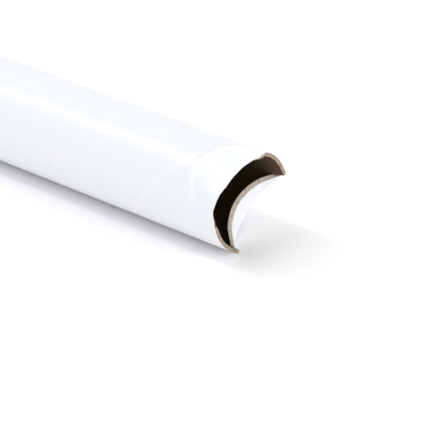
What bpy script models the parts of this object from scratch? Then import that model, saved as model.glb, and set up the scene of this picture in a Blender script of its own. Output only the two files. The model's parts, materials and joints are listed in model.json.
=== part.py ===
"""A drawing tube of spiral-wound paperboard with crimped, snap-shut ends.

Metres, +Z up. The tube lies on its side along X with its mouth at +X, and the
origin is at the middle of the flat that it rests on. Each end has two flaps.
A flap is a continuation of the tube wall above a curved crease, and it snaps
inwards by turning inside out: the curved crease lies in one plane, and the
snapped flap is the reflection of the open one in that plane.

The wall has flat sides, so each flap is a row of flat staves. Each stave turns
about its own straight piece of the crease, which carries it exactly from its
open place to its snapped place.
"""

import math

import bmesh
import bpy
from mathutils import Matrix, Quaternion, Vector

# The tube
INSIDE_DIAMETER = 0.0508        # a two inch tube, across its flats
LENGTH = 0.3048                 # twelve inches
SIDES = 22                      # flat sides of the wall, one of them at the very bottom

# The wall's plies, from the outside in: name and thickness
PLIES = (
    ("outer_ply", 0.00070),
    ("middle_ply", 0.00060),
    ("inner_ply", 0.00060),
)
GLUE_LINE = 0.00005             # left open between two plies

# The flaps
STAVES = 8                      # sides of the wall that one flap takes
FLAP_ROLL_SIDES = 2.5           # sides from straight up to the middle of an upper flap
CREASE_DEPTH = 0.0224           # from the rim down to the crease's lowest point
CREASE_GAP = 0.00010            # between a stave's foot and the crease
STAVE_GAP = 0.00010             # between two staves at the crease
STAVE_TAPER = math.radians(2.8)  # lean of each stave's side, so that neighbours pass
TIP_CUT = 0.0006                # taken off the thin tip of a stave that ends at a point

# How far the cutters reach past the wall
CUTTER_OUT = 0.018
CUTTER_IN = 0.008

# Worked out from the dimensions above
WALL = sum(thick for name, thick in PLIES) + GLUE_LINE * (len(PLIES) - 1)
RADIUS = INSIDE_DIAMETER / 2 + WALL                 # from the axis to a flat side
SIDE_ANGLE = 2 * math.pi / SIDES
CORNER_RADIUS = RADIUS / math.cos(SIDE_ANGLE / 2)   # from the axis to a corner of the wall
FLAP_HALF_ANGLE = STAVES * SIDE_ANGLE / 2
FLAP_ROLL = FLAP_ROLL_SIDES * SIDE_ANGLE
CHORD = CORNER_RADIUS * math.cos(FLAP_HALF_ANGLE)   # from the axis to the line of a flap's ends
AXIS = Vector((0, 0, RADIUS))
STOCK = 4 * CREASE_DEPTH                            # block that a stave is cut from

# Each flap: its name, the end it closes, its roll and whether it is snapped in
FLAPS = (
    ("mouth_upper", 1, FLAP_ROLL, False),
    ("mouth_lower", 1, FLAP_ROLL + math.pi, True),
    ("foot_upper", -1, FLAP_ROLL, True),
    ("foot_lower", -1, FLAP_ROLL + math.pi, True),
)

WHITE_FACE = (0.93, 0.94, 0.95, 1)
KRAFT = (0.55, 0.42, 0.30, 1)
DARK_KRAFT = (0.42, 0.31, 0.21, 1)


def radial(angle):
    """Unit vector away from the tube's axis; angle runs from +Z towards -Y."""
    return Vector((0, -math.sin(angle), math.cos(angle)))


def facing(vector, guide):
    """Unit vector along vector, turned round if need be to the side that guide is on."""
    return vector.normalized() * (1 if vector.dot(guide) > 0 else -1)


def clear_scene():
    for obj in list(bpy.data.objects):
        bpy.data.objects.remove(obj, do_unlink=True)


def new_collection(name):
    collection = bpy.data.collections.new(name)
    bpy.context.scene.collection.children.link(collection)
    return collection


def new_material(name, colour, roughness):
    material = bpy.data.materials.new(name)
    material.use_nodes = True
    shader = material.node_tree.nodes["Principled BSDF"]
    shader.inputs["Base Color"].default_value = colour
    shader.inputs["Roughness"].default_value = roughness
    shader.inputs["Metallic"].default_value = 0
    material.diffuse_color = colour
    return material


def new_object(name, bm, collection, material=None):
    mesh = bpy.data.meshes.new(name)
    bm.to_mesh(mesh)
    bm.free()
    obj = bpy.data.objects.new(name, mesh)
    if material:
        mesh.materials.append(material)
    collection.objects.link(obj)
    return obj


def add_boolean(obj, cutter):
    modifier = obj.modifiers.new("cut_" + cutter.name, "BOOLEAN")
    modifier.operation = "DIFFERENCE"
    modifier.solver = "EXACT"
    modifier.object = cutter


class Flap:
    """Where one flap's crease runs, and how each of its staves folds."""

    def __init__(self, end, roll):
        self.roll = roll
        self.outward = Vector((end, 0, 0))
        self.rim = AXIS + self.outward * LENGTH / 2
        self.middle = radial(roll)
        # the crease's plane: down it from the chord, and its normal into the tube
        self.down = (self.middle * (CORNER_RADIUS - CHORD) - self.outward * CREASE_DEPTH).normalized()
        across = self.middle.cross(self.outward)
        self.inward = facing(across.cross(self.down), -self.middle)

    def corner(self, index):
        """Place of the crease where it meets corner index of the wall."""
        angle = index * SIDE_ANGLE - FLAP_HALF_ANGLE
        reach = CORNER_RADIUS * math.cos(angle)
        depth = CREASE_DEPTH * (reach - CHORD) / (CORNER_RADIUS - CHORD)
        return self.rim + radial(self.roll + angle) * CORNER_RADIUS - self.outward * depth

    def hinge(self, index):
        """Point, axis and full fold angle of stave index; a positive turn folds it in."""
        start = self.corner(index)
        stop = self.corner(index + 1)
        face = self.face(index)
        axis = facing(stop - start, face.cross(self.outward))
        up_face = facing(axis.cross(face), self.outward)
        up_plane = facing(axis.cross(self.inward), self.outward)
        return (start + stop) / 2, axis, 2 * up_face.angle(up_plane)

    def face(self, index):
        """Outward normal of the flat side that stave index continues."""
        return radial(self.roll + (index + 0.5) * SIDE_ANGLE - FLAP_HALF_ANGLE)


def trim(bm, point, away):
    """Cut off what lies past the plane through point, on the side that away faces."""
    geometry = bm.verts[:] + bm.edges[:] + bm.faces[:]
    bmesh.ops.bisect_plane(bm, geom=geometry, dist=1e-7, plane_co=point, plane_no=away, clear_outer=True)
    bmesh.ops.holes_fill(bm, edges=[edge for edge in bm.edges if edge.is_boundary], sides=0)


def make_stave(name, flap, index, snapped, collection, material):
    """One flat stave: a block trimmed to the wall's side, the crease's bevel and the rim."""
    hinge, axis, fold = flap.hinge(index)
    face = flap.face(index)
    up = facing(face.cross(axis), flap.outward)

    bm = bmesh.new()
    bmesh.ops.create_cube(bm, size=STOCK)
    trim(bm, Vector((0, 0, 0)), face)
    trim(bm, -face * WALL, -face)
    trim(bm, flap.rim - hinge, flap.outward)
    # the foot leans by half the fold, so that it meets the wall's bevel when it is snapped in
    foot = up * math.cos(fold / 2) + face * math.sin(fold / 2)
    trim(bm, foot * CREASE_GAP, -foot)
    # once snapped in, nothing of the stave may reach past the wall's bevel at its corners
    bevel = Quaternion(axis, -fold) @ flap.inward
    for corner in (index, index + 1):
        place = flap.corner(corner) - hinge
        wall_corner = radial(flap.roll + corner * SIDE_ANGLE - FLAP_HALF_ANGLE)
        side = facing(wall_corner.cross(flap.outward), place)
        lean = Quaternion(face, STAVE_TAPER)
        if (lean @ side).dot(flap.outward) < 0:
            lean.invert()
        trim(bm, place - side * STAVE_GAP / 2, lean @ side)
        trim(bm, place - side * STAVE_GAP / 2, facing(bevel.cross(flap.outward), place))
        if corner in (0, STAVES):
            trim(bm, place - side * TIP_CUT, side)
    bmesh.ops.recalc_face_normals(bm, faces=bm.faces[:])

    obj = new_object(name, bm, collection, material)
    obj.location = hinge
    obj.rotation_mode = "QUATERNION"
    obj.rotation_quaternion = Quaternion(axis, fold if snapped else 0)
    return obj


def make_ply(name, outer_radius, thick, cutters, collection, material):
    """One ply of the wall: an open prism thickened inwards and cut away above the creases."""
    bm = bmesh.new()
    corner_radius = outer_radius / math.cos(SIDE_ANGLE / 2)
    bmesh.ops.create_cone(bm, cap_ends=False, segments=SIDES, radius1=corner_radius,
                          radius2=corner_radius, depth=LENGTH)
    bmesh.ops.rotate(bm, verts=bm.verts, matrix=Matrix.Rotation(math.pi / 2, 3, "Y"))
    bmesh.ops.recalc_face_normals(bm, faces=bm.faces[:])
    obj = new_object(name, bm, collection, material)
    obj.location = AXIS
    solid = obj.modifiers.new("thickness", "SOLIDIFY")
    solid.thickness = thick
    solid.offset = -1
    solid.use_even_offset = True
    for cutter in cutters:
        add_boolean(obj, cutter)
    return obj


def make_notch_cutter(name, flap, collection):
    """Prism over the flap's crease, square to the crease's plane, that clears the flap's place."""
    bm = bmesh.new()
    outline = [bm.verts.new(flap.corner(index) - flap.inward * CUTTER_OUT) for index in range(STAVES + 1)]
    bottom = bm.faces.new(outline)
    prism = bmesh.ops.extrude_face_region(bm, geom=[bottom])
    moved = [item for item in prism["geom"] if isinstance(item, bmesh.types.BMVert)]
    bmesh.ops.translate(bm, verts=moved, vec=flap.inward * (CUTTER_OUT + CUTTER_IN))
    bmesh.ops.recalc_face_normals(bm, faces=bm.faces[:])
    cutter = new_object(name, bm, collection)
    cutter.hide_render = True
    cutter.display_type = "WIRE"
    return cutter


def main():
    clear_scene()
    parts = new_collection("drawing_tube")
    cutters = new_collection("cutters")
    white = new_material("white_face", WHITE_FACE, 0.35)
    kraft = new_material("kraft", KRAFT, 0.9)
    dark_kraft = new_material("dark_kraft", DARK_KRAFT, 0.95)

    notches = []
    for flap_name, end, roll, snapped in FLAPS:
        flap = Flap(end, roll)
        notches.append(make_notch_cutter(flap_name + "_notch", flap, cutters))
        for index in range(STAVES):
            make_stave(f"{flap_name}_stave_{index + 1}", flap, index, snapped, parts, white)

    outer_radius = RADIUS
    for (name, thick), material in zip(PLIES, (white, kraft, dark_kraft)):
        make_ply(name, outer_radius, thick, notches, parts, material)
        outer_radius -= thick + GLUE_LINE


main()
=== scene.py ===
"""The drawing tube's looks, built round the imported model.

The wall is three plies of board with a white outer face, and each flap is a row
of curved pieces, one set on each stave's body. A flap at rest is one smooth
surface: an open flap carries on the round wall, and a snapped flap is the wall's
mirror image in the plane of its crease. Lengths are in metres and angles in
radians, apart from a few lists that say otherwise.
"""

import json
import math

import bpy
import numpy as np
from mathutils import Matrix, Vector


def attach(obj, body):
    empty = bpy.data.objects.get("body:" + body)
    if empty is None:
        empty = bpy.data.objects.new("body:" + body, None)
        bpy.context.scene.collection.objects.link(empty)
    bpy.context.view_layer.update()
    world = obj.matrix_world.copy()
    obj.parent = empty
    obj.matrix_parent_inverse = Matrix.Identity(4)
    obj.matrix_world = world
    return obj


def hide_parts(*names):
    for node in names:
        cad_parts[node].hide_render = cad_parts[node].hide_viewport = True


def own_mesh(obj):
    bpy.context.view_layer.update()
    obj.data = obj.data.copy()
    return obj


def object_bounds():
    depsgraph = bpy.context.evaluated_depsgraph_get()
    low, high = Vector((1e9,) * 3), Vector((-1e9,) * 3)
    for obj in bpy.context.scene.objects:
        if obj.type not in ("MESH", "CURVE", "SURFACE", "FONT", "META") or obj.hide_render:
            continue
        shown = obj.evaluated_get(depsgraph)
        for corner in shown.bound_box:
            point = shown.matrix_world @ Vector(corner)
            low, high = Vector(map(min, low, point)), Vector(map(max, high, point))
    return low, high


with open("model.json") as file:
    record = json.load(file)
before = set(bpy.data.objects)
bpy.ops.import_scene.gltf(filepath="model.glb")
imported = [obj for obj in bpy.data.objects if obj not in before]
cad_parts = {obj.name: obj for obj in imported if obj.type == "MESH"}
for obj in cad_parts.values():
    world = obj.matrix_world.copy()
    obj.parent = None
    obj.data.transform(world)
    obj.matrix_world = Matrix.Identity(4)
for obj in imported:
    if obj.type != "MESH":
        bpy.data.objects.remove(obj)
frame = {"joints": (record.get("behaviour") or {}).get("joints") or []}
cad_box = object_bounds()

MM = 0.001
HALF_LENGTH = cad_box[1].x
RADIUS = cad_box[1].z / 2           # of the wall's white face
TINY = 1e-15                        # keeps a division by a length from failing

# The wall's plies from the white face inwards, as (name, top, bottom, slot)
PLIES = (
    ("outer_ply", 0.0, 0.70 * MM, "white_ply"),
    ("middle_ply", 0.75 * MM, 1.35 * MM, "kraft_ply"),
    ("inner_ply", 1.40 * MM, 2.00 * MM, "kraft_liner"),
)
WALL = PLIES[-1][2]                 # thickness of the wall, and of a flap's board at most

# Where the wall has lines of points: round it in degrees, and along it from its ends
WALL_COLUMN_STEP = 1.5
CORNER_COLUMNS = (-4.5, -3, -2, -1.2, -0.6, -0.25, -0.02, 0.02, 0.3, 0.8)
NEAR_STEPS = np.array([0, .12, .26, .42, .6, .8, 1.05, 1.4, 1.9, 2.7, 4.0, 6.0]) * MM
INSIDE_STEPS = np.array([0, 1, 3]) * MM
MIDDLE_STEPS = 26
END_STEPS = np.array([0, .08, .2, .5, .8, .92, 1])
STEP_STRETCH = 0.75                 # steps are stretched for this share of the crease's slope

# Where a flap has them: columns over each stave, and shares of the way over each of its sides
COLUMNS_PER_STAVE = 8
FLAP_STEPS = np.array([0, .006, .014, .024, .036, .05, .07, .1, .14, .19, .25, .32, .4, .48,
                       .56, .64, .72, .8, .87, .93, .97, 1])
RIM_STEPS = np.array([0, .04, .1, .25, .5, .75, .9, .96, 1])
BACK_STEPS = np.array([1, .97, .9, .8, .65, .5, .35, .2, .08, 0])
FOOT_STEPS = np.linspace(0, 1, 5)
FILLER_STEPS = np.linspace(0, 1, 9)
FILLER_ACROSS = np.linspace(0, 1, 4)
SIDE_FILLER_COLUMNS = np.array((-1.4, -1, 0, 1, 1.4))[:, None]  # in halves of the gap it fills

# The skin and the board of a stave
SKIN = 0.12 * MM                    # thickness of the open flap's skin
SKIN_BASE = 0.03 * MM               # and of a snapped stave's at its middle, over a flat board
SKIN_MOST = 0.5                     # the skin is at most this share of the board
SIDE_CLEARANCE = 0.03 * MM
SUNK = 0.08 * MM                    # how far a stave's hidden reach lies under its neighbour's faces
REACH_STARTS = np.radians((0.05, 0.12, 0.2, 0.7))

# Cut edges
EDGE_ROUND = 0.09 * MM
FRAY = 0.06 * MM
FRAY_SEED = 5                       # of the wall's rims; a flap's seed is its number
FRAY_DRIFT = 40                     # how fast the wall's fray changes through the board
FRAY_TURNS = 1.7                    # how fast a flap's fray changes round its rim
FRAY_GROWTH = 6                     # a flap's fray is whole from a sixth of the board's depth on
RIPPLE_TURNS = (3, 7, 13, 29, 47)   # numbers of waves round the tube
RIPPLE_MOST = 2.3                   # what the waves add up to at most
RIM_SLANT = 0.95                    # the open flap's cut edge leans back by this slope
RIM_SLANT_FADE = np.radians((13, 7))
RIM_LEAST = 0.9                     # a rim is cut down by at most this share of its flap
BEVEL_SLANT = 1.3                   # the mouth's snapped flap has its white face cut back by this slope

# The crease
BEAD_HEIGHT = 0.85 * MM
BEAD_WIDTH = 1.5 * MM
KEPT_UNDER = 0.25 * MM              # a snapped board stays this far under the wall's white face
KEPT_UNDER_FROM = 1.0 * MM          # from this depth of the board on
FOLD_ROUND = 0.28 * MM
FOLD_WIDTH = 0.42 * MM
RELIEF_DEPTH = 1.2 * MM             # the bead or round fades out at this depth
CREASE_FADE = math.radians(7)       # and over this angle before a flap's corner
CORNER_STOP = math.radians(1.8)     # a flap's tip stops this far short of its corner
TIP_LEAST = 0.2 * MM                # thickness of the tip
THIN_SHARE = 0.93                   # a foot leans over at most this share of its flap
LEAST_FLAP = 0.01 * MM              # a flap is taken to be at least this high
LEAST_LEAN = 1e-3                   # and a cut through it to lean at least this much
WALL_SPARE = math.radians(6)        # the cuts at a crease lean this much more than the fold needs
FOOT_SPARE = math.radians(3)

# What fills the board inside a crease and between staves
FILLER_TOP = 1.4 * MM               # a crease's filler closes it from this depth down
FILLER_OVERLAP = 0.02               # and runs on past the flap's corner by this angle

# The used mouth, by (degrees from a flap's middle, millimetres)
# How far it is pulled out at one corner, by angle from the open flap
PULLED = ((-98, 0.0), (-64.7, 1.5), (-50, 0.0))
PULLED_SPAN = np.radians((-97.9, -50.1))    # the wall keeps the value at each end beyond it
# How far the open flap is pressed in at its rim
PRESSED = ((-66, 0.0), (-63.6, 0.0), (-60, 1.5), (-55, 3.2), (-50, 3.9), (-36, 4.7), (-16, 5.0),
           (0, 4.4), (8, 3.9), (14, 2.7), (21, 1.25), (30, 0.1), (41, -1.2), (54, 0.0), (66, 0.0))
PRESSED_CURVE = 1.35                # power of the way from crease to rim
# How far the snapped flap's rim stands back from the mirror image
STOOD_BACK = ((-66, 0.3), (-63, 1.8), (-58, 3.0), (-42, 4.2), (-28, 2.8), (0, 2.1), (30, 2.3),
              (48, 3.2), (58, 3.2), (63, 2.0), (66, 0.3))

# The helical seam of the white ply: its lead for one turn, and a place that it runs through
SEAM_WIDTH = 1.0 * MM
SEAM_STEP = 0.06 * MM
SEAM_LEAD = 140 * MM
SEAM_PLACE = 117 * MM
SEAM_ANGLE = math.radians(51.8)
SEAM_SOFTNESS = 0.4

# Colours from low to high, and the noise in them: its scales in cycles per metre, and the
# ranges of its values that are spread over the colours
WHITE_PAPER = ((0.835, 0.842, 0.862), (0.85, 0.856, 0.872))
# the seam's colour is lighter than the paper: a painted highlight along the real seam
SEAM_HIGHLIGHT_COLOUR = (0.90, 0.90, 0.91)
WHITE_ROUGHNESS = (0.26, 0.36)
CLOUD_SCALE = 90
DULL_SCALE = 400
GRAIN_SCALE = 1500
GRAIN_STRETCH = (0.5, 1, 1)
GRAIN_SHARE = 0.1
FIBRE_SCALE = 900
FLECK_SCALE = 2600
NAP_SCALE = 2200
NAP_DEPTH = 0.12 * MM
NOISE_RANGE = (0.3, 0.7)
DULL_RANGE = (0.25, 0.75)
FLECK_RANGE = (0.62, 0.72)
KRAFT_SPECULAR = 0.2
CUT_FIBRES = (3, 0.6, 0.6)
LONG_FIBRES = (0.35, 1, 1)

# The surroundings and the camera, and the lights as (name, place, aim, size, watts)
SKY_COLOUR = (0.965, 0.98, 1.0, 1)
SKY_STRENGTH = 0.90
FLOOR_COLOUR = (0.97, 0.97, 0.97, 1)
FLOOR_ROUGHNESS = 0.9
FLOOR_REACH = 6.0
CAMERA_PLACE = (1.12999, -0.99565, 0.68569)
CAMERA_BACK = (0.63956, -0.63619, 0.43153)
CAMERA_RIGHT = (0.71663, 0.69656, -0.03518)
CAMERA_FOV = math.radians(8.4097)
CAMERA_NEAR = 0.05
LIGHTS = (
    ("key", (-0.5, -0.7, 1.6), (0, 0, 0.03), (1.6, 1.2), 2.4),
    ("strip", (-0.95, -0.34, 1.24), (0.03, 0, 0.04), (2.4, 0.08), 5.2),
    ("side", (1.6, 0.2, 0.5), (0.05, 0, 0.03), (0.9, 0.7), 8.0),
)


def smooth(value):
    """Goes from 0 to 1 with no corner as value does."""
    held = np.clip(value, 0, 1)
    return held * held * (3 - 2 * held)


def through(points, angle):
    """Smooth curve through points of (degrees, millimetres), in metres, level beyond them."""
    where = np.degrees(angle)
    marks = np.array(points, float)
    step = np.searchsorted(marks[:, 0], where).clip(1, len(marks) - 1)
    start, stop = marks[step - 1], marks[step]
    share = smooth((where - start[..., 0]) / (stop[..., 0] - start[..., 0]))
    straight = np.interp(where, marks[:, 0], marks[:, 1])
    return (0.5 * straight + 0.5 * (start[..., 1] + (stop[..., 1] - start[..., 1]) * share)) * MM


def ripple(angle, seed):
    """Small unevenness round an edge, from about -1 to 1."""
    waves = sum(np.sin(turns * angle + seed * turns) / number
                for number, turns in enumerate(RIPPLE_TURNS, 1))
    return waves / RIPPLE_MOST


def radial(angle):
    """Outward direction on the round wall."""
    return np.stack((np.zeros_like(angle), -np.sin(angle), np.cos(angle)), -1)


def wall_point(end, angle, radius, height):
    """Place on a round shell; height is measured outwards from the rim at that end."""
    angle, radius, height = np.broadcast_arrays(angle, radius, height)
    return np.stack((end * (HALF_LENGTH + height), -radius * np.sin(angle),
                     RADIUS + radius * np.cos(angle)), -1)


def pressed_in(angle, share):
    """How far the mouth's open flap is pressed in; share runs from crease to rim."""
    return through(PRESSED, angle) * share ** PRESSED_CURVE


class Flap:
    """One flap: where its crease runs and where the points of its board lie.

    Its angles are measured round the tube from the flap's middle.
    """

    def __init__(self, name, seed):
        self.name = name
        self.seed = seed
        self.joints = [joint for joint in frame["joints"] if joint["name"].startswith(name)]
        self.bodies = [joint["child"] for joint in self.joints]
        hinges = np.array([joint["pos_m"] for joint in self.joints])
        self.end = int(np.sign(hinges[0, 0]))
        across = hinges[:, 1:] - (0, RADIUS)
        self.roll = math.atan2(-across[:, 0].sum(), across[:, 1].sum())
        self.middle = radial(self.roll)
        self.outward = np.array((self.end, 0, 0))
        reach = across @ self.middle[1:]
        height = self.end * hinges[:, 0] - HALF_LENGTH
        inner = len(hinges) // 2
        self.slope = (height[0] - height[inner]) / (reach[inner] - reach[0])
        self.chord = reach[0] + height[0] / self.slope
        self.tilt = math.atan(self.slope)
        self.side = math.acos((across[0] @ across[1]) / (across[0] @ across[0]))
        self.half_angle = self.side * len(hinges) / 2
        self.corner = self.half_angle - CORNER_STOP
        self.snapped = self.joints[0]["range_deg"][0] < 0
        self.folds = [math.radians(max(joint["range_deg"], key=abs)) for joint in self.joints]
        self.normal = self.middle * math.sin(self.tilt) + self.outward * math.cos(self.tilt)

    def local(self, whole):
        """Angles from the flap's middle, from angles round the tube."""
        return np.mod(whole - self.roll + math.pi, 2 * math.pi) - math.pi

    def crease(self, angle):
        """Height of the crease on the white face; it is below the rim, so negative."""
        return np.minimum(0, (self.chord - RADIUS * np.cos(angle)) * self.slope)

    def away(self, angle, height):
        """Distance over the white face from a point to the crease."""
        return np.abs(height - self.crease(angle)) / np.hypot(1, self.slope * np.sin(angle))

    def fade(self, angle, width):
        """1 along the crease, falling to 0 at the flap's corners."""
        return smooth((self.half_angle - np.abs(angle)) / width)

    def lean(self, angle, spare):
        """How far a cut through the board at the crease runs along the tube for its depth.

        An open flap and its wall are mitred, and a snapped one is cut back only where the
        fold is sharper than square, so that it stays within its wall.
        """
        half = np.arccos(math.sin(self.tilt) * np.cos(angle))
        lean = np.maximum(0, 2 * half - math.radians(90) + spare) if self.snapped else half + spare
        return np.tan(lean) * np.hypot(1, self.slope * np.sin(angle))

    def wall_cut(self, angle, depth):
        """Height of the wall's end, depth below its white face."""
        return self.crease(angle) - depth * self.lean(angle, WALL_SPARE)

    def foot(self, angle, depth):
        """Height of the flap's foot, depth below its white face, in its unfolded state."""
        return self.crease(angle) + depth * self.lean(angle, FOOT_SPARE)

    def thickness(self, angle):
        """Thickness of the flap's board, which thins out at its corners."""
        room = -self.crease(np.clip(angle, -self.corner, self.corner))
        most = THIN_SHARE * room / np.maximum(self.lean(angle, FOOT_SPARE), LEAST_LEAN)
        return np.clip(most, TIP_LEAST, WALL)

    def mirrored(self, points):
        """Reflection of points in the crease's plane."""
        start = np.array((0, 0, RADIUS)) + self.outward * HALF_LENGTH + self.middle * self.chord
        return points - 2 * ((points - start) @ self.normal)[..., None] * self.normal

    def place(self, angle, height, depth):
        """Place of the flap's board, depth below its white face, with no dent or bead."""
        whole = self.roll + angle
        if self.snapped:
            return self.mirrored(wall_point(self.end, whole, RADIUS + depth, height))
        return wall_point(self.end, whole, RADIUS - depth, height)

    def crease_shift(self, angle, distance):
        """The bead of an open crease or the round of a snapped one, distance away from it."""
        fade = self.fade(angle, CREASE_FADE)
        if self.snapped:
            amount = FOLD_ROUND * np.exp(-(distance / FOLD_WIDTH) ** 2) * fade
            return -amount[..., None] * self.normal
        amount = BEAD_HEIGHT * np.exp(-(distance / BEAD_WIDTH) ** 2) * fade
        return amount[..., None] * radial(self.roll + angle)

    def dent(self, angle, share):
        """How a used flap differs from the ideal one; share runs from crease to rim."""
        if self.name == "mouth_upper":
            return -pressed_in(angle, share)[..., None] * radial(self.roll + angle)
        if self.name == "mouth_lower":
            return (through(STOOD_BACK, angle) * share ** 2)[..., None] * self.middle
        return np.zeros(np.shape(angle) + (3,))


FLAPS = [Flap(name, seed) for seed, name in
         enumerate(("mouth_upper", "mouth_lower", "foot_upper", "foot_lower"), 1)]
OPEN_FLAP = FLAPS[0]
SIDE = OPEN_FLAP.side               # the angle that one stave takes up
HALF_SIDE = SIDE / 2


# ---------------------------------------------------------------- meshes

def loft(name, loops, cuts, tags, materials, closed):
    """Solid through a row of closed loops of points.

    cuts are the places along a loop where its side turns sharply, from 0, and tags give
    each side's material, or one for each row of it. In an open solid the first and last
    loop only steer the normals, so that neighbouring pieces shade as one surface.
    """
    rows = loops if closed else loops[1:-1]
    count, size = rows.shape[:2]
    last = count if closed else count - 1
    if closed:
        across = np.roll(loops, -1, 0) - np.roll(loops, 1, 0)
    else:
        across = loops[2:] - loops[:-2]
    ends = list(cuts[1:]) + [size]
    row = np.arange(last)[:, None]
    faces, normals, slots = [], [], []
    for start, stop, tag in zip(cuts, ends, tags):
        items = np.arange(start, stop + 1) % size
        along = np.gradient(rows[:, items], axis=1)
        facing = np.cross(along, across[:, items])
        facing /= np.maximum(np.linalg.norm(facing, axis=-1, keepdims=True), TINY)
        low, high = items[:-1][None], items[1:][None]
        after = (row + 1) % count
        quads = np.stack(np.broadcast_arrays(row * size + low, row * size + high,
                                             after * size + high, after * size + low), -1)
        near, far = facing[:last], np.roll(facing, -1, 0)[:last]
        shade = np.stack((near[:, :-1], near[:, 1:], far[:, 1:], far[:, :-1]), 2)
        faces.append(quads.reshape(-1, 4))
        normals.append(shade.reshape(-1, 3))
        slots += np.broadcast_to(np.reshape(tag, (-1, 1)), quads.shape[:2]).ravel().tolist()
    faces = np.concatenate(faces)
    normals = np.concatenate(normals)
    points = rows.reshape(-1, 3)
    middle = points.mean(0)
    a, b, c, d = (points[faces[:, k]] - middle for k in range(4))
    volume = sum(np.einsum("ij,ij->i", a, np.cross(p, q)).sum() for p, q in ((b, c), (c, d)))
    faces = [tuple(face) for face in faces.tolist()]
    if not closed:
        faces += [tuple(range(size))[::-1], tuple(range((count - 1) * size, count * size))]
        slots += [tags[-1]] * 2
        for end, sign in ((0, -1), (-1, 1)):
            start = rows[end].mean(0)
            spokes = rows[end] - start
            cap = sign * np.cross(spokes, np.roll(spokes, -1, 0)).sum(0)
            volume += cap @ (start - middle)
            facing = cap / max(np.linalg.norm(cap), TINY)
            normals = np.concatenate((normals, np.broadcast_to(facing, (size, 3))))
    if volume < 0:
        faces = [face[::-1] for face in faces]
        marks = np.cumsum([0] + [len(face) for face in faces])
        normals = np.concatenate([-normals[low:high][::-1] for low, high in zip(marks, marks[1:])])
    mesh = bpy.data.meshes.new(name)
    mesh.from_pydata(points.tolist(), [], faces)
    for look in materials:
        mesh.materials.append(look)
    mesh.polygons.foreach_set("material_index", slots)
    mesh.polygons.foreach_set("use_smooth", [True] * len(faces))
    mesh.normals_split_custom_set(normals.tolist())
    piece = bpy.data.objects.new(name, mesh)
    bpy.context.scene.collection.objects.link(piece)
    return piece


def joined(*sides):
    """One closed loop from sides that each end where the next starts, and where each starts."""
    cuts, total = [], 0
    for side in sides:
        cuts.append(total)
        total += side.shape[1] - 1
    return np.concatenate([side[:, :-1] for side in sides], 1), cuts


def between(start, stop, steps):
    """Points from start to stop at the given shares."""
    return start[..., None, :] + (stop - start)[..., None, :] * np.asarray(steps)[:, None]


# ---------------------------------------------------------------- materials

def mix_color(tree, factor, low, high):
    """Colour between low and high by a factor socket."""
    node = tree.nodes.new("ShaderNodeMix")
    node.data_type = "RGBA"
    tree.links.new(factor, node.inputs[0])
    for socket, value in ((node.inputs[6], low), (node.inputs[7], high)):
        if isinstance(value, tuple):
            socket.default_value = (*value, 1)
        else:
            tree.links.new(value, socket)
    return node.outputs[2]


def noise(tree, scale, stretch=(1, 1, 1), detail=4):
    """Procedural noise in the part's own frame; scale is in cycles per metre."""
    place = tree.nodes.new("ShaderNodeTexCoord")
    turn = tree.nodes.new("ShaderNodeMapping")
    turn.inputs["Scale"].default_value = stretch
    tree.links.new(place.outputs["Object"], turn.inputs["Vector"])
    node = tree.nodes.new("ShaderNodeTexNoise")
    node.inputs["Scale"].default_value = scale
    node.inputs["Detail"].default_value = detail
    tree.links.new(turn.outputs["Vector"], node.inputs["Vector"])
    return node.outputs["Fac"]


def spread(tree, value, low, high, start=0.0, stop=1.0):
    """Carries a value between low and high over to the range from start to stop."""
    node = tree.nodes.new("ShaderNodeMapRange")
    for name, number in (("From Min", low), ("From Max", high), ("To Min", start), ("To Max", stop)):
        node.inputs[name].default_value = number
    tree.links.new(value, node.inputs["Value"])
    return node.outputs["Result"]


def bump(tree, shader, height, distance):
    """Gives the shader fine relief; distance is in metres."""
    node = tree.nodes.new("ShaderNodeBump")
    node.inputs["Distance"].default_value = distance
    tree.links.new(height, node.inputs["Height"])
    tree.links.new(node.outputs["Normal"], shader.inputs["Normal"])


def math_node(tree, work, first, second=0.5, third=0.5):
    """Result of a math node, whose inputs are sockets or numbers."""
    node = tree.nodes.new("ShaderNodeMath")
    node.operation = work
    for socket, value in zip(node.inputs, (first, second, third)):
        if isinstance(value, (int, float)):
            socket.default_value = value
        else:
            tree.links.new(value, socket)
    return node.outputs[0]


def material(name, roughness):
    """New Principled material with its tree and shader."""
    made = bpy.data.materials.new(name)
    made.use_nodes = True
    shader = made.node_tree.nodes["Principled BSDF"]
    shader.inputs["Roughness"].default_value = roughness
    return made, made.node_tree, shader


def seam(tree):
    """1 along the helical butt seam of the white ply and 0 away from it; it places the seam's relief
    and its painted highlight.
    """
    place = tree.nodes.new("ShaderNodeTexCoord")
    parts = tree.nodes.new("ShaderNodeSeparateXYZ")
    tree.links.new(place.outputs["Object"], parts.inputs[0])
    x, y, z = parts.outputs
    turn = math_node(tree, "ARCTAN2", math_node(tree, "MULTIPLY", y, -1.0),
                     math_node(tree, "SUBTRACT", z, RADIUS))
    rise = SEAM_LEAD / (2 * math.pi)
    run = math_node(tree, "ADD", x, math_node(tree, "MULTIPLY", turn, rise))
    run = math_node(tree, "SUBTRACT", run, SEAM_PLACE + SEAM_ANGLE * rise)
    run = math_node(tree, "PINGPONG", math_node(tree, "ABSOLUTE", run), SEAM_LEAD / 2)
    share = math_node(tree, "DIVIDE", run, SEAM_WIDTH)
    off = math_node(tree, "SMOOTH_MIN", 1.0, share, SEAM_SOFTNESS)
    return math_node(tree, "SUBTRACT", 1.0, off)


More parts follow.
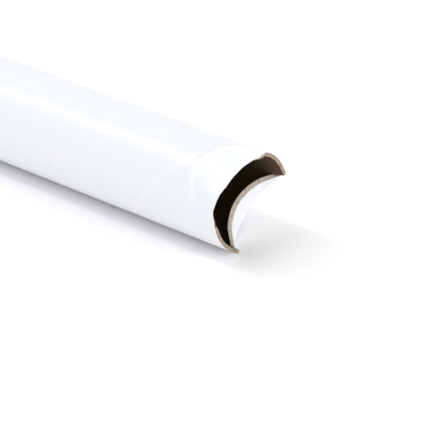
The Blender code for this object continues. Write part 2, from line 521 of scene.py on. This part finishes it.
def coated_white():
    """Glossy white liner: faint mottling, a seam with its relief and a painted highlight along it, and
    fine relief of the paper under its coating.
    """
    made, tree, shader = material("coated_white", sum(WHITE_ROUGHNESS) / 2)
    line = seam(tree)
    cloud = spread(tree, noise(tree, CLOUD_SCALE), *NOISE_RANGE)
    base = mix_color(tree, cloud, *WHITE_PAPER)
    # painted highlight: the seam is mixed towards a lighter white
    tree.links.new(mix_color(tree, line, base, SEAM_HIGHLIGHT_COLOUR), shader.inputs["Base Color"])
    grain = math_node(tree, "MULTIPLY", noise(tree, GRAIN_SCALE, GRAIN_STRETCH), GRAIN_SHARE)
    bump(tree, shader, math_node(tree, "ADD", grain, line), SEAM_STEP)
    dull = spread(tree, noise(tree, DULL_SCALE), *DULL_RANGE, *WHITE_ROUGHNESS)
    tree.links.new(dull, shader.inputs["Roughness"])
    return made


def kraft(name, roughness, stretch, low, high, fleck):
    """Unbleached board: stretched fibres, darker flecks and a rough nap."""
    made, tree, shader = material(name, roughness)
    fibre = spread(tree, noise(tree, FIBRE_SCALE, stretch, 6), *NOISE_RANGE)
    base = mix_color(tree, fibre, low, high)
    spot = spread(tree, noise(tree, FLECK_SCALE, stretch, 2), *FLECK_RANGE)
    tree.links.new(mix_color(tree, spot, base, fleck), shader.inputs["Base Color"])
    bump(tree, shader, noise(tree, NAP_SCALE, stretch, 6), NAP_DEPTH)
    shader.inputs["Specular IOR Level"].default_value = KRAFT_SPECULAR
    return made


WHITE = coated_white()
EDGE = kraft("board_edge", 0.85, CUT_FIBRES,
             (0.30, 0.238, 0.175), (0.44, 0.358, 0.285), (0.19, 0.13, 0.09))
# a lighter copy of the board's cut edge for the flaps' rims: painted light on them
LIT_EDGE = kraft("lit_board_edge", 0.85, CUT_FIBRES,
             (0.41, 0.35, 0.29), (0.60, 0.53, 0.46), (0.25, 0.18, 0.13))
# the kraft liner: its own brown, darkened with painted shade of the tube's inside; it also serves as
# painted shade on cut faces in the creases
SHADED_LINER = kraft("kraft_liner", 0.8, LONG_FIBRES,
              (0.098, 0.063, 0.034), (0.145, 0.1, 0.059), (0.06, 0.037, 0.02))


# ---------------------------------------------------------------- the wall

def finish_piece(piece, body, slot, *nodes):
    """Rides a piece on its body and hides the imported parts that it takes the place of."""
    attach(piece, body)
    if nodes:
        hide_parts(*nodes)


def wall_columns():
    """Angles round the tube, dense near the flaps' corners."""
    angles = list(np.arange(0, 360, WALL_COLUMN_STEP))
    for flap in FLAPS:
        corner = math.degrees(flap.corner)
        for side in (-1, 1):
            for shift in CORNER_COLUMNS:
                angles.append(math.degrees(flap.roll) + side * (corner + shift))
    return np.radians(np.unique(np.round(np.mod(angles, 360), 3)))


def wall_top(end, angles, radius):
    """(height of the wall's end, 1 where that is a plain rim and 0 under a flap)."""
    shape = np.broadcast(angles, radius).shape
    height, rim = np.zeros(shape), np.ones(shape)
    for flap in FLAPS:
        if flap.end == end:
            local = flap.local(angles)
            under = np.abs(local) < flap.corner
            if flap is OPEN_FLAP:
                height = height + through(PULLED, np.clip(local, *PULLED_SPAN))
            height = np.where(under, flap.wall_cut(local, RADIUS - radius), height)
            rim = np.where(under, 0, rim)
    return height, rim


def wall_creases(points, end, angles, heights, depth=0.0):
    """Adds the creases' relief to points of the wall, less and less below the white face."""
    for flap in FLAPS:
        if flap.end == end:
            local, heights = np.broadcast_arrays(flap.local(angles), heights)
            near = np.abs(local) < flap.half_angle
            shift = flap.crease_shift(local, flap.away(local, heights))
            fade = np.clip(1 - np.broadcast_to(depth, near.shape) / RELIEF_DEPTH, 0, 1)
            points = points + np.where(near, fade, 0)[..., None] * shift
    return points


def wall_ply(name, top, bottom, slot):
    """One ply of the wall, between the creases or rims of both ends."""
    angles = wall_columns()[:, None]
    outer, inner = RADIUS - top, RADIUS - bottom
    stretch = np.hypot(1, OPEN_FLAP.slope * STEP_STRETCH)

    def face(radius, steps):
        sides = []
        for end in (-1, 1):
            height, rim = wall_top(end, angles, radius)
            start = height - rim * EDGE_ROUND - steps * stretch
            points = wall_point(end, angles, radius, start)
            if radius == RADIUS:
                points = wall_creases(points, end, angles, start)
            sides.append(points)
        foot, mouth = sides[0], sides[1][:, ::-1]
        middle = between(foot[:, -1], mouth[:, 0], np.linspace(0, 1, MIDDLE_STEPS)[1:-1])
        return np.concatenate((foot, middle, mouth), 1)

    def end_face(end):
        radius = outer + (inner - outer) * END_STEPS[None]
        height, rim = wall_top(end, angles, radius)
        near = np.minimum(np.abs(radius - outer), np.abs(radius - inner))
        rounded = rim * EDGE_ROUND * np.clip(1 - near / EDGE_ROUND, 0, 1) ** 2
        fray = rim * FRAY * ripple(angles + radius * FRAY_DRIFT, FRAY_SEED)
        height = height - rounded + fray * np.clip(near / EDGE_ROUND, 0, 1)
        points = wall_point(end, angles, radius, height)
        return wall_creases(points, end, angles, height, RADIUS - radius)

    outside = face(outer, NEAR_STEPS)
    inside = face(inner, INSIDE_STEPS)[:, ::-1]
    mouth, foot = end_face(1), end_face(-1)[:, ::-1]
    for before, after in ((outside, mouth), (mouth, inside), (inside, foot), (foot, outside)):
        after[:, 0] = before[:, -1]
    loops, cuts = joined(outside, mouth, inside, foot)
    centres = (angles + np.roll(angles, -1)) / 2
    at_mouth, at_foot = (wall_top(end, centres, outer)[1] < 0.5 for end in (1, -1))
    white_cut = (np.abs(OPEN_FLAP.local(centres)) < OPEN_FLAP.corner) & (top == 0)
    # end faces under a flap are in the dark liner, as painted shade in the crease's groove, except the
    # white ply's under the open flap, which is white; plain rims show the board's edge
    tags = (0, np.where(at_mouth, np.where(white_cut, 0, 2), 1), 2, np.where(at_foot, 2, 1))
    looks = (WHITE if top == 0 else EDGE, EDGE, SHADED_LINER)
    piece = loft("tube_" + name, loops, cuts, tags, looks, True)
    finish_piece(piece, "tube", slot, name)


# ---------------------------------------------------------------- the flaps

def free_half(radius):
    """Half of the angle that a stave can take up at a radius in both of its states."""
    return (np.arcsin(2 * RADIUS * math.sin(HALF_SIDE) / radius) - HALF_SIDE
            - SIDE_CLEARANCE / RADIUS)


def rim_height(flap, angle, share):
    """Height of a flap's rim; share runs through the board from its white face."""
    height = FRAY * ripple(angle * FRAY_TURNS + share, flap.seed) * np.clip(share * FRAY_GROWTH, 0, 1)
    if flap.name == "mouth_upper":
        width = np.where(angle < 0, *RIM_SLANT_FADE)
        height = height - share * WALL * RIM_SLANT * smooth((flap.corner - np.abs(angle)) / width)
        height = height + through(PULLED, angle)
    if flap.name == "mouth_lower":
        height = height - (1 - share) * WALL * BEVEL_SLANT
    return np.maximum(height, RIM_LEAST * flap.crease(angle))


def board_points(flap, angle, depth, height):
    """Points of a flap's board by their unfolded height."""
    angle, depth, height = np.broadcast_arrays(angle, depth, height)
    crease = np.minimum(flap.crease(angle), -LEAST_FLAP)
    dent_share = np.clip(1 - height / crease, 0, 1)
    fade = np.clip(1 - depth / RELIEF_DEPTH, 0, 1)[..., None]
    points = flap.place(angle, height, depth) + flap.dent(angle, dent_share)
    points = points + fade * flap.crease_shift(angle, flap.away(angle, height))
    if flap.snapped:
        across = points[..., 1:] - (0, RADIUS)
        most = RADIUS - KEPT_UNDER * np.clip(depth / KEPT_UNDER_FROM, 0, 1)
        across *= np.minimum(1, most / np.linalg.norm(across, axis=-1))[..., None]
        points[..., 1:] = across + (0, RADIUS)
    return points


class Columns:
    """The lines across a stave that its pieces are lofted through.

    angle_at gives their angles, which change through the board: a snapped stave is cut
    for its open state, and the open flap's staves reach under their neighbours, to
    cover the gaps that open between them when it is snapped in. Plain columns stay
    where the stave's edges are. The outermost column at each side only steers normals.
    """

    def __init__(self, flap, number, plain=False):
        self.flap = flap
        self.plain = plain
        self.middle = (number + 0.5) * SIDE - flap.half_angle
        self.inner = (number > 0, number < len(flap.bodies) - 1)
        step = SIDE / COLUMNS_PER_STAVE
        offsets = np.linspace(-HALF_SIDE, HALF_SIDE, COLUMNS_PER_STAVE + 1)
        offsets = np.concatenate((offsets[:1] - step, offsets, offsets[-1:] + step))
        if not self.inner[0]:
            offsets[1] = -flap.corner - self.middle
        if not self.inner[1]:
            offsets[-2] = flap.corner - self.middle
        self.offsets = offsets
        self.sunk = np.zeros(len(offsets))
        self.reach = np.zeros(len(offsets))
        if flap.snapped or plain:
            return
        for is_inner, side in zip(self.inner, (-1, 1)):
            if is_inner:
                self.offsets = self.ending(self.offsets, side * (HALF_SIDE + REACH_STARTS), side)
                self.sunk = self.ending(self.sunk, np.array((0, 1, 1, 1)), side)
                self.reach = self.ending(self.reach, side * np.array((0, 0, 1, 1)), side)

    @staticmethod
    def ending(values, extra, side):
        """Puts extra, which runs outwards, in place of the outermost value at one side."""
        if side < 0:
            return np.concatenate((extra[::-1], values[1:]))
        return np.concatenate((values[:-1], extra))

    def angles(self):
        """Angles of the columns at the white face."""
        return self.middle + self.offsets

    def angle_at(self, depth, share):
        """Angles of the columns, each at its own depth and share of the flap's height."""
        offsets = self.offsets[:, None]
        if self.plain:
            return self.middle + offsets
        if self.flap.snapped:
            squeeze = np.minimum(1, free_half(RADIUS + depth) / HALF_SIDE)
            kept = ((offsets < 0) & (not self.inner[0])) | ((offsets > 0) & (not self.inner[1]))
            return self.middle + offsets * np.where(kept, 1, squeeze)
        edge = self.middle + np.sign(offsets) * HALF_SIDE
        spare = free_half(RADIUS - depth - pressed_in(edge, share)) - HALF_SIDE
        return self.middle + offsets + self.reach[:, None] * np.maximum(spare, 0)


def board_loops(points, top, bottom):
    """Loops round a board from depth top to depth bottom; points takes depths and shares."""
    white = points(top, FLAP_STEPS[None])
    rim = points(top + (bottom - top) * RIM_STEPS[None], np.ones((1, 1)))
    back = points(bottom, BACK_STEPS[None])
    foot = points(bottom + (top - bottom) * FOOT_STEPS[None], np.zeros((1, 1)))
    return joined(white, rim, back, foot)


def flap_layer(name, columns, top, bottom, looks):
    """One layer of a stave, from depth top to depth bottom at each of its columns."""
    flap = columns.flap
    sunk = columns.sunk[:, None] * SUNK

    def points(depth, share):
        depth, share = np.broadcast_arrays(depth, share)
        angle = columns.angle_at(depth, share)
        foot = flap.foot(angle, depth)
        rim = rim_height(flap, angle, depth / WALL) - sunk
        return board_points(flap, angle, depth, foot + (rim - foot) * share)

    loops, cuts = board_loops(points, top[:, None] + sunk, bottom[:, None] - sunk)
    return loft(name, loops, cuts, (0, 1, 2, 2), looks, False)


def turned(flap, number, vector):
    """A vector turned about a stave's hinge, from its other state to the one at rest."""
    axis = Vector(flap.joints[number]["axis"])
    return np.array(Matrix.Rotation(-flap.folds[number], 3, axis) @ Vector(vector))


def flatten(piece):
    """Gives a piece its own copy of its mesh."""
    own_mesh(piece)


def skin_depth(flap, angle, middle):
    """Depth of the board below the white face, under its skin."""
    if not flap.snapped:
        return np.full(np.shape(angle), SKIN)
    return (RADIUS + SKIN_BASE) / np.cos(angle - middle) - RADIUS


def stave_skin(columns):
    """Depth of a stave's skin at each of its columns."""
    thick = columns.flap.thickness(columns.angles())
    return np.minimum(skin_depth(columns.flap, columns.angles(), columns.middle), thick * SKIN_MOST)


def crease_filler(flap, number):
    """The board inside an open crease, in one piece on the tube and one on the stave."""
    columns = Columns(flap, number)
    most = flap.corner + FILLER_OVERLAP
    angle = np.clip(columns.angles()[columns.sunk == 0], -most, most)[:, None]
    crease = flap.crease(np.clip(angle, -flap.corner, flap.corner))
    top = np.minimum(FILLER_TOP, flap.thickness(angle))
    depth = top + (WALL - top) * FILLER_STEPS[None]
    level = np.broadcast_to(crease, depth.shape)
    under = flap.wall_cut(angle, depth)
    over = np.minimum(flap.foot(angle, depth), rim_height(flap, angle, depth / WALL))
    for kind, body, low, high, direction in (
            ("wall", "tube", under, level, flap.normal),
            ("foot", flap.bodies[number], level, over, turned(flap, number, flap.normal))):
        rise = high - low
        start = board_points(flap, angle, depth, low)
        back = board_points(flap, angle, WALL, low[:, -1:] + rise[:, -1:] * FILLER_ACROSS)
        stop = board_points(flap, angle, depth[:, ::-1], high[:, ::-1])
        front = board_points(flap, angle, top, high[:, :1] - rise[:, :1] * FILLER_ACROSS)
        loops, cuts = joined(start, back, stop, front)
        name = f"{flap.bodies[number]}_{kind}_filler"
        piece = loft(name, loops, cuts, (0, 1, 0, 0), (EDGE, SHADED_LINER), False)
        finish_piece(piece, body, "flap_board")
        flatten(piece)


def side_filler(flap, number):
    """The wedge between a snapped stave and the next, on the first of them."""
    edge = (number + 1) * SIDE - flap.half_angle

    def points(depth, share):
        depth, share = np.broadcast_arrays(depth, share)
        angle = edge + SIDE_FILLER_COLUMNS * (HALF_SIDE - free_half(RADIUS + depth))
        foot = flap.foot(angle, depth)
        rim = rim_height(flap, angle, depth / WALL)
        return board_points(flap, angle, depth, foot + (rim - foot) * share)

    top = skin_depth(flap, edge, edge - HALF_SIDE)
    loops, cuts = board_loops(points, top, flap.thickness(edge))
    name = f"{flap.bodies[number]}_side_filler"
    piece = loft(name, loops, cuts, (0, 0, 1, 0), (EDGE, SHADED_LINER), False)
    finish_piece(piece, flap.bodies[number], "flap_board")
    flatten(piece)


def make_flap(flap):
    """The staves of a flap: a white skin over a board on each, and what fills between them."""
    # a flap's rim is in the lighter copy of the board's edge, with painted light
    skin_looks = (WHITE, LIT_EDGE, EDGE) if flap.snapped else (WHITE, WHITE, WHITE)
    # a board's back and foot are in the liner, darkened with painted shade
    board_looks = (EDGE if flap.snapped else WHITE, LIT_EDGE, SHADED_LINER)
    for number, body in enumerate(flap.bodies):
        plain = Columns(flap, number, plain=not flap.snapped)
        skin = stave_skin(plain)
        piece = flap_layer(body + "_skin", plain, 0 * skin, skin, skin_looks)
        finish_piece(piece, body, "flap_board")
        if flap.snapped:
            flatten(piece)
        else:
            flatten(piece)
        columns = Columns(flap, number)
        thick = flap.thickness(columns.angles())
        piece = flap_layer(body + "_board", columns, stave_skin(columns), thick, board_looks)
        finish_piece(piece, body, "flap_board", body)
        if not flap.snapped:
            flatten(piece)
            crease_filler(flap, number)
        elif number < len(flap.bodies) - 1:
            side_filler(flap, number)


for ply in PLIES:
    wall_ply(*ply)
for one_flap in FLAPS:
    make_flap(one_flap)


# ---------------------------------------------------------------- stage, light and camera

def add_floor():
    """Plain pale floor under the tube."""
    ground, _, shader = material("pale_floor", FLOOR_ROUGHNESS)
    shader.inputs["Base Color"].default_value = FLOOR_COLOUR
    mesh = bpy.data.meshes.new("floor")
    corners = [(x * FLOOR_REACH, y * FLOOR_REACH, 0) for x, y in ((-1, -1), (1, -1), (1, 1), (-1, 1))]
    mesh.from_pydata(corners, [], [(0, 1, 2, 3)])
    mesh.materials.append(ground)
    floor = bpy.data.objects.new("floor", mesh)
    bpy.context.scene.collection.objects.link(floor)


def add_lights():
    """Even sky light and the area lights, each with its long side level."""
    world = bpy.data.worlds.new("studio")
    world.use_nodes = True
    sky = world.node_tree.nodes["Background"]
    sky.inputs["Color"].default_value = SKY_COLOUR
    sky.inputs["Strength"].default_value = SKY_STRENGTH
    bpy.context.scene.world = world
    for name, place, aim, size, power in LIGHTS:
        light = bpy.data.lights.new(name, "AREA")
        light.shape = "RECTANGLE"
        light.size, light.size_y = size
        light.energy = power
        lamp = bpy.data.objects.new(name, light)
        lamp.location = place
        back = (Vector(place) - Vector(aim)).normalized()
        along = (Vector((1, 0, 0)) - back * back.x).normalized()
        lamp.rotation_euler = Matrix((along, back.cross(along), back)).transposed().to_euler()
        bpy.context.scene.collection.objects.link(lamp)


def add_camera():
    """The camera, by its place and the directions behind it and to its right."""
    lens = bpy.data.cameras.new("camera")
    lens.lens_unit = "FOV"
    lens.angle = CAMERA_FOV
    lens.clip_start = CAMERA_NEAR
    camera = bpy.data.objects.new("camera", lens)
    back = Vector(CAMERA_BACK).normalized()
    up = back.cross(Vector(CAMERA_RIGHT).normalized()).normalized()
    right = up.cross(back)
    turn = Matrix((right, up, back)).transposed().to_4x4()
    camera.matrix_world = Matrix.Translation(CAMERA_PLACE) @ turn
    bpy.context.scene.collection.objects.link(camera)
    bpy.context.scene.camera = camera


bpy.context.scene.view_settings.view_transform = "Standard"
add_floor()
add_lights()
add_camera()
